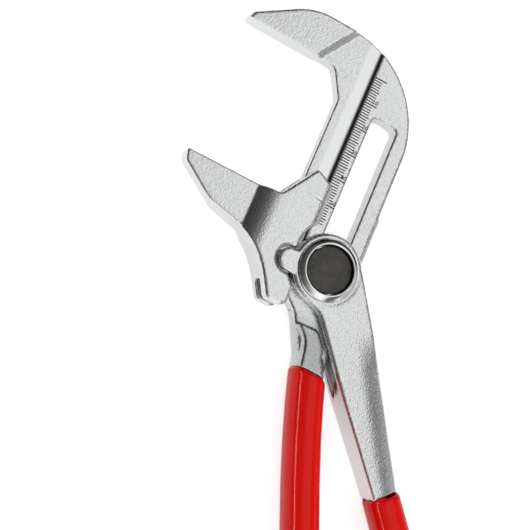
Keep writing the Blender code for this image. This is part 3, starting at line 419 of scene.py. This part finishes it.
# Scale.
# Millimetre marks burnt dark into the strip beside the slot, longer at each five and each ten, with
# the tens numbered. They count down from the fixed jaw, and the sliding jaw's notch reads them.
# The strip's height, and then where the scale starts: along the shaft, and at its left side.
STRIP_FACE = 0.0127
SCALE_ZERO = 0.07125
SCALE_LEFT = -0.0101
SCALE_STEP = 0.001
SCALE_LAST = 57
MARK_PROUD = 0.00003
MARK_DEPTH = 0.0001
# Each kind of mark's length and width.
MARKS = {"one": (0.0031, 0.00036), "five": (0.0036, 0.00040), "ten": (0.0047, 0.00044)}
NUMERAL_SIZE = 0.0022
NUMERAL_SWELL = NUMERAL_SIZE / 70
NUMERAL_LIFT = 0.0007
BURNT_DARK = (0.012, 0.010, 0.009)
BURNT_PALE = (0.055, 0.045, 0.038)
BURNT_ROUGHNESS = 0.7
BURNT_SCALE = 2600
BURNT_DETAIL = 2.0


def mark_kind(reading):
    if reading % 10 == 0:
        return "ten"
    return "five" if reading % 5 == 0 else "one"


def add_mark(shape, left, right, y, width):
    made = bmesh.ops.create_cube(shape, size=1.0)["verts"]
    height = MARK_PROUD + MARK_DEPTH
    bmesh.ops.scale(shape, verts=made, vec=(right - left, width, height))
    middle = ((left + right) / 2, y, STRIP_FACE + MARK_PROUD - height / 2)
    bmesh.ops.translate(shape, verts=made, vec=middle)


def add_numeral(shape, text, right, base):
    """Adds a number, its right edge and its base line at the given place."""
    curve = bpy.data.curves.new("numeral", "FONT")
    curve.body = text
    curve.size = NUMERAL_SIZE
    curve.align_x = "RIGHT"
    curve.extrude = (MARK_PROUD + MARK_DEPTH) / 2
    curve.offset = NUMERAL_SWELL
    item = bpy.data.objects.new("numeral", curve)
    bpy.context.scene.collection.objects.link(item)
    graph = bpy.context.evaluated_depsgraph_get()
    mesh = bpy.data.meshes.new_from_object(item.evaluated_get(graph))
    height = STRIP_FACE + MARK_PROUD - curve.extrude
    mesh.transform(Matrix.Translation((right, base, height)))
    shape.from_mesh(mesh)
    bpy.data.objects.remove(item)
    bpy.data.meshes.remove(mesh)


def new_piece(name, shape):
    mesh = bpy.data.meshes.new(name)
    bmesh.ops.recalc_face_normals(shape, faces=shape.faces)
    shape.to_mesh(mesh)
    shape.free()
    piece = bpy.data.objects.new(name, mesh)
    bpy.context.scene.collection.objects.link(piece)
    return piece


def burnt_mark():
    """The scale's dark brown, patchy as a laser leaves it."""
    finish, tree, shader, place = new_finish("burnt_mark")
    shader.inputs["Roughness"].default_value = BURNT_ROUGHNESS
    patches = noise(tree, place, BURNT_SCALE, BURNT_DETAIL)
    tree.links.new(blend(tree, patches, BURNT_DARK, BURNT_PALE), shader.inputs["Base Color"])
    return finish


scale_shape = bmesh.new()
for reading in range(SCALE_LAST + 1):
    length, width = MARKS[mark_kind(reading)]
    y = SCALE_ZERO - reading * SCALE_STEP
    add_mark(scale_shape, SCALE_LEFT, SCALE_LEFT + length, y, width)
    if reading > 0 and mark_kind(reading) == "ten":
        add_numeral(scale_shape, str(reading), SCALE_LEFT + length, y + NUMERAL_LIFT)
scale = new_piece("mm_scale", scale_shape)
dress(scale, burnt_mark(), "fixed_lever", "black_oxide")

# Sliding jaw.
# A second forging: two cheeks that straddle the shaft, and a toe with the lower gripping face. A
# shallow notch on the front cheek's right edge points at the scale.
JAW_GRAIN = 0.0003
JAW_PEEL = 0.45
JAW_PITS = 0.2
LOWER_GRIP = ((None, 0.0163, None), (-0.0260, 0.0170, None))
# The notch's left and right end, and half its width at each.
NOTCH_START = (-0.0146, 0.0210)
NOTCH_END = (-0.0082, 0.0204)
NOTCH_HALF_WIDTHS = (0.00040, 0.00085)
NOTCH_STEEPNESS = 0.7
NOTCH_ROOM = 0.0011
NOTCH_LEAST_Z = 0.0140
NOTCH_CUTS = 3


def near_notch(point):
    """Whether a point is on the front cheek's face, where the notch goes."""
    return (
        NOTCH_START[0] - NOTCH_ROOM < point.x < NOTCH_END[0] + 2 * NOTCH_ROOM
        and NOTCH_END[1] - NOTCH_ROOM < point.y < NOTCH_START[1] + NOTCH_ROOM
        and point.z > NOTCH_LEAST_Z
    )


def between(ends, share):
    return ends[0] + (ends[1] - ends[0]) * share


def cut_notch(piece):
    """Presses a V-shaped line, widening to the right, into the front cheek."""
    shape = bmesh.new()
    shape.from_mesh(piece.data)
    edges = [edge for edge in shape.edges if all(near_notch(end.co) for end in edge.verts)]
    bmesh.ops.subdivide_edges(shape, edges=edges, cuts=NOTCH_CUTS, use_grid_fill=True)
    for corner in shape.verts:
        share = (corner.co.x - NOTCH_START[0]) / (NOTCH_END[0] - NOTCH_START[0])
        if share > 0 and near_notch(corner.co):
            centre = between((NOTCH_START[1], NOTCH_END[1]), share)
            half = between(NOTCH_HALF_WIDTHS, share)
            corner.co.z -= NOTCH_STEEPNESS * max(half - abs(corner.co.y - centre), 0)
    shape.to_mesh(piece.data)
    shape.free()
    piece.data.shade_smooth()


jaw_chrome = blasted_chrome("jaw_chrome", JAW_PEEL, JAW_PITS, (LOWER_GRIP,))
jaw_forging = softened("sliding_jaw", "sliding_jaw_forging", JAW_GRAIN, FORGED_PASSES)
cut_notch(jaw_forging)
dress(jaw_forging, jaw_chrome, "jaw", "forged_chrome", "sliding_jaw")

# Pivot lever.
# The third forging: a fork with a boss and a lug on each tine, and the right handle. The handle's
# face is crowned: it is flat along its left edge and falls away in a long curve to its right one.
LEVER_GRAIN = 0.00035
LEVER_PEEL = 0.42
LEVER_PITS = 0.4
# The heights along the handle where the crown starts, is in full and reaches its lower end.
CROWN_TOP = -0.013
CROWN_FULL = -0.026
CROWN_BOTTOM = -0.056
# The face's left and right edge: x at the station, and how far it moves right with each step down.
CROWN_STATION = -0.018
CROWN_LEFT = (0.0072, 0.869)
CROWN_RIGHT = (0.0274, 0.669)
# The share of the width that stays flat, at the top and at the bottom.
CROWN_STARTS = (0.58, 0.30)
CROWN_DROP = 0.0016
CROWN_MOST = 1.1
CROWN_LOW_Z = 0.0105
CROWN_HIGH_Z = 0.0150


def crown(piece):
    """Lowers the right side of the handle's face, and its edge with it."""
    for corner in piece.data.vertices:
        x, y, z = corner.co
        if y > CROWN_TOP or z < CROWN_LOW_Z:
            continue
        run = CROWN_STATION - y
        left = CROWN_LEFT[0] + CROWN_LEFT[1] * run
        right = CROWN_RIGHT[0] + CROWN_RIGHT[1] * run
        share = (x - left) / (right - left)
        start = between(CROWN_STARTS, min((CROWN_TOP - y) / (CROWN_TOP - CROWN_BOTTOM), 1))
        bow = min(max((share - start) / (1 - start), 0) ** 2, CROWN_MOST)
        fade = min((CROWN_TOP - y) / (CROWN_TOP - CROWN_FULL), 1)
        part = min((z - CROWN_LOW_Z) / (CROWN_HIGH_Z - CROWN_LOW_Z), 1)
        corner.co.z -= CROWN_DROP * bow * fade * part


lever_chrome = blasted_chrome("lever_chrome", LEVER_PEEL, LEVER_PITS, ())
lever_forging = softened("pivot_lever", "pivot_lever_forging", LEVER_GRAIN, FORGED_PASSES)
crown(lever_forging)
dress(lever_forging, lever_chrome, "lever", "forged_chrome", "pivot_lever")

# Hinge bolt, bush and snap ring.
# The bolt is turned and polished. Its bezel is a rounded ring with a fine raised rim, and a dark
# sheet lines the cup inside it as painted shade. All turned faces carry faint rings from the tool.
TURNED_STEPS = 128
TURNED_CREASE = math.radians(50)
# Profiles are loops of (radius, height over the middle plane).
BEZEL_PROFILE = (
    (0.01097, 0.00764), (0.01098, 0.00785), (0.01090, 0.00812), (0.01070, 0.00840),
    (0.01040, 0.00868), (0.01000, 0.00896), (0.00960, 0.00917), (0.00925, 0.00931),
    (0.00918, 0.00934), (0.00905, 0.00936), (0.00885, 0.00936), (0.00870, 0.00932),
    (0.00862, 0.00920), (0.00862, 0.00900), (0.00880, 0.00880), (0.01060, 0.00775),
)
# A thin dark sheet inside the cup's wall, painted shade for the gap round the button.
CUP_SHADE_PROFILE = (
    (0.00858, 0.00904), (0.00870, 0.00904), (0.00870, 0.00458), (0.00858, 0.00458),
)
RING_SCALE = 9000
RING_DETAIL = 2.0
RING_HEIGHT = 0.00002
WEAR_SCALE = 420
WEAR_DETAIL = 6.0
WEAR_ROUGHNESS = 0.75
WEAR_RANGE = (0.36, 0.64)
WEAR_DARKENS = 3
WEAR_BRIGHTENS = 4
# Each turned finish: its tint, roughness, share of metal, depth of rings and strength of wear.
POLISHED = ((0.84, 0.84, 0.84), 0.12, 1.0, 0.25, 0.03)
SPRING_STEEL = ((0.5, 0.5, 0.49), 0.3, 1.0, 0.2, 0.05)
# Painted shade: a near-black finish for the sheet that lines the cup.
CUP_SHADE_DARK = ((0.012, 0.011, 0.010), 0.5, 0.0, 0.2, 0.05)


def turned_piece(name, profile):
    """A closed solid of revolution about the hinge axis, from a profile."""
    shape = bmesh.new()
    corners = [shape.verts.new((radius, 0, MID + height)) for radius, height in profile]
    edges = [shape.edges.new((corner, corners[index - 1])) for index, corner in enumerate(corners)]
    bmesh.ops.spin(
        shape, geom=corners + edges, cent=(0, 0, 0), axis=(0, 0, 1), angle=math.tau,
        steps=TURNED_STEPS, use_merge=True,
    )
    bmesh.ops.remove_doubles(shape, verts=shape.verts, dist=MERGE_REACH)
    piece = new_piece(name, shape)
    piece.data.shade_smooth()
    piece.data.set_sharp_from_angle(angle=TURNED_CREASE)
    return piece


def turned_metal(name, tint, roughness, metallic, rings, wear):
    """A metal with faint rings about the hinge axis and, on a used face, fine scratches."""
    finish, tree, shader, place = new_finish(name)
    shader.inputs["Metallic"].default_value = metallic
    axes = split_axes(tree, place)
    squares = [join(tree, "MULTIPLY", axis, axis) for axis in axes[:2]]
    radius = join(tree, "SQRT", join(tree, "ADD", *squares), 0)
    lathe = tree.nodes.new("ShaderNodeCombineXYZ")
    tree.links.new(radius, lathe.inputs[0])
    tree.links.new(axes[2], lathe.inputs[2])
    worn = noise(tree, place, WEAR_SCALE, WEAR_DETAIL, WEAR_ROUGHNESS)
    worn = remap(tree, worn, *WEAR_RANGE, 0, 1)
    gloss = remap(tree, worn, 0, 1, roughness - wear / 2, roughness + wear)
    tree.links.new(gloss, shader.inputs["Roughness"])
    dark = scaled(tint, 1 - WEAR_DARKENS * wear)
    bright = scaled(tint, 1 + WEAR_BRIGHTENS * wear)
    tree.links.new(blend(tree, worn, dark, bright), shader.inputs["Base Color"])
    ringed = noise(tree, lathe.outputs[0], RING_SCALE, RING_DETAIL)
    raise_skin(tree, shader, ringed, RING_HEIGHT, rings)
    return finish


polished = turned_metal("polished_chrome", *POLISHED)
spring_steel = turned_metal("spring_steel", *SPRING_STEEL)
cup_shade = turned_metal("painted_cup_shade", *CUP_SHADE_DARK)
for name, finish in (
    ("hinge_bolt", polished), ("rear_bush", polished), ("snap_ring", spring_steel),
    ("locking_key", spring_steel), ("button_spring", spring_steel),
):
    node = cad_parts[name]
    node.data.materials.clear()
    node.data.materials.append(finish)

bezel = turned_piece("bezel_ring", BEZEL_PROFILE)
dress(bezel, polished, "carriage", "polished_chrome")
# Painted shade: the dark sheet inside the cup.
shade_sheet = turned_piece("cup_shade_sheet", CUP_SHADE_PROFILE)
dress(shade_sheet, cup_shade, "carriage", "black_oxide")

# Push button.
# A dark oxidised steel disc that sits in the bolt's cup. Its rim is slightly rounded, and its face
# has the fine marks that thumbs and keys leave.
BUTTON_PROFILE = (
    (0, 0.0071), (0.0078, 0.0071), (0.0081, 0.0074), (0.0081, 0.0079),
    (0.00806, 0.0081), (0.00796, 0.00823), (0.0078, 0.0083), (0, 0.0083),
)
OXIDE = ((0.085, 0.080, 0.072), 0.46, 0.5, 0.4, 0.08)

oxide = turned_metal("black_oxide", *OXIDE)
button = turned_piece("button_disc", BUTTON_PROFILE)
dress(button, oxide, "button", "black_oxide", "push_button")

# Grips.
# Two sleeves of glossy red PVC. Each tang is dipped into it hot, so the sleeve has round edges and
# its mouth clings to the steel.
SLEEVE_GRAIN = 0.0004
SLEEVE_PASSES = 7
# How near to the steel the sleeve's inner wall is drawn, and from how far.
MOUTH_SKIN = 0.00002
MOUTH_REACH = 0.0008
RED = (0.50, 0.0025, 0.0008)
RED_SPREAD = 0.06
RED_SHINE = 0.22
RED_ROUGHNESS = (0.11, 0.15)
RED_CLOUD_SCALE = 45
RED_CLOUD_DETAIL = 3.0
RED_CLOUD_RANGE = (0.3, 0.7)
RIPPLE_SCALE = 260
RIPPLE_DETAIL = 2.0
RIPPLE_HEIGHT = 0.0003
RIPPLE_STRENGTH = 0.05


def dipped_red():
    """Glossy red PVC, a little uneven in colour and in shine, with slight ripples from the dip."""
    finish, tree, shader, place = new_finish("red_sleeve")
    shader.inputs["Specular IOR Level"].default_value = RED_SHINE
    cloud = noise(tree, place, RED_CLOUD_SCALE, RED_CLOUD_DETAIL)
    gloss = remap(tree, cloud, *RED_CLOUD_RANGE, *RED_ROUGHNESS)
    tree.links.new(gloss, shader.inputs["Roughness"])
    tint = blend(tree, cloud, scaled(RED, 1 - RED_SPREAD), scaled(RED, 1 + RED_SPREAD))
    tree.links.new(tint, shader.inputs["Base Color"])
    ripples = noise(tree, place, RIPPLE_SCALE, RIPPLE_DETAIL)
    raise_skin(tree, shader, ripples, RIPPLE_HEIGHT, RIPPLE_STRENGTH)
    return finish


def close_mouth(sleeve, tang):
    """Draws the sleeve's inner wall onto its tang."""
    shape = bmesh.new()
    shape.from_mesh(tang.data)
    steel = BVHTree.FromBMesh(shape)
    shape.free()
    for corner in sleeve.data.vertices:
        near, _, _, distance = steel.find_nearest(corner.co)
        if MOUTH_SKIN < distance < MOUTH_REACH:
            corner.co = near + (corner.co - near) * (MOUTH_SKIN / distance)


red = dipped_red()
sleeves = bpy.data.collections.new("sleeves")
for side, body, tang in (("left", "fixed_lever", fixed_forging), ("right", "lever", lever_forging)):
    sleeve = softened("grip_" + side, side + "_sleeve", SLEEVE_GRAIN, SLEEVE_PASSES)
    close_mouth(sleeve, tang)
    dress(sleeve, red, body, "red_sleeve", "grip_" + side)
    sleeves.objects.link(sleeve)
for lamp in sleeve_lamps:
    lamp.light_linking.receiver_collection = sleeves
